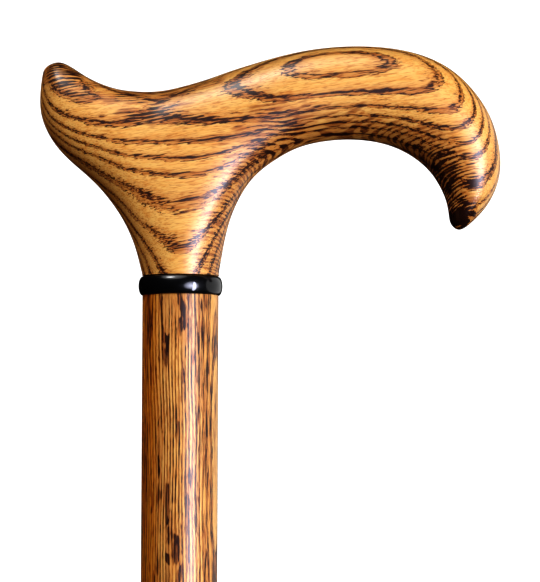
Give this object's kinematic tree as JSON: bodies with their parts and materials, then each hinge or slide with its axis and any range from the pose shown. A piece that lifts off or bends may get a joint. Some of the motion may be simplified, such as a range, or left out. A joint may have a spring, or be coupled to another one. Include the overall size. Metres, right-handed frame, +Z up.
{
  "type": "derby walking cane",
  "caption": "Derby walking cane: a carved ash handle with an upswept tail and hooked nose, a black collar, a turned ash shaft and a ribbed rubber ferrule.",
  "frame": {"origin": "centre of the ferrule's sole, on the floor", "axes": "+Z up along the shaft, +X towards the nose of the handle, +Y across the grip"},
  "size_m": [0.1346, 0.036, 0.9149],
  "materials": {
    "handle_wood": "carved flame-toned ash under gloss lacquer, dark grain along the handle",
    "shaft_wood": "turned flame-toned ash under gloss lacquer, dark grain along the shaft",
    "collar_black": "polished black",
    "stud_steel": "zinc plated",
    "ferrule_rubber": "matt moulded black rubber",
    "washer_steel": "plain stamped steel"
  },
  "bodies": {
    "cane": {"handle": "handle_wood", "collar": "collar_black", "shaft": "shaft_wood", "dowel_screw": "stud_steel"},
    "ferrule": {"ferrule": "ferrule_rubber", "ferrule_washer": "washer_steel"}
  },
  "joints": [
    {"name": "ferrule_pull", "type": "slide", "parent": "cane", "child": "ferrule", "axis": [0, 0, -1], "range_m": [0, 0.045]}
  ]
}
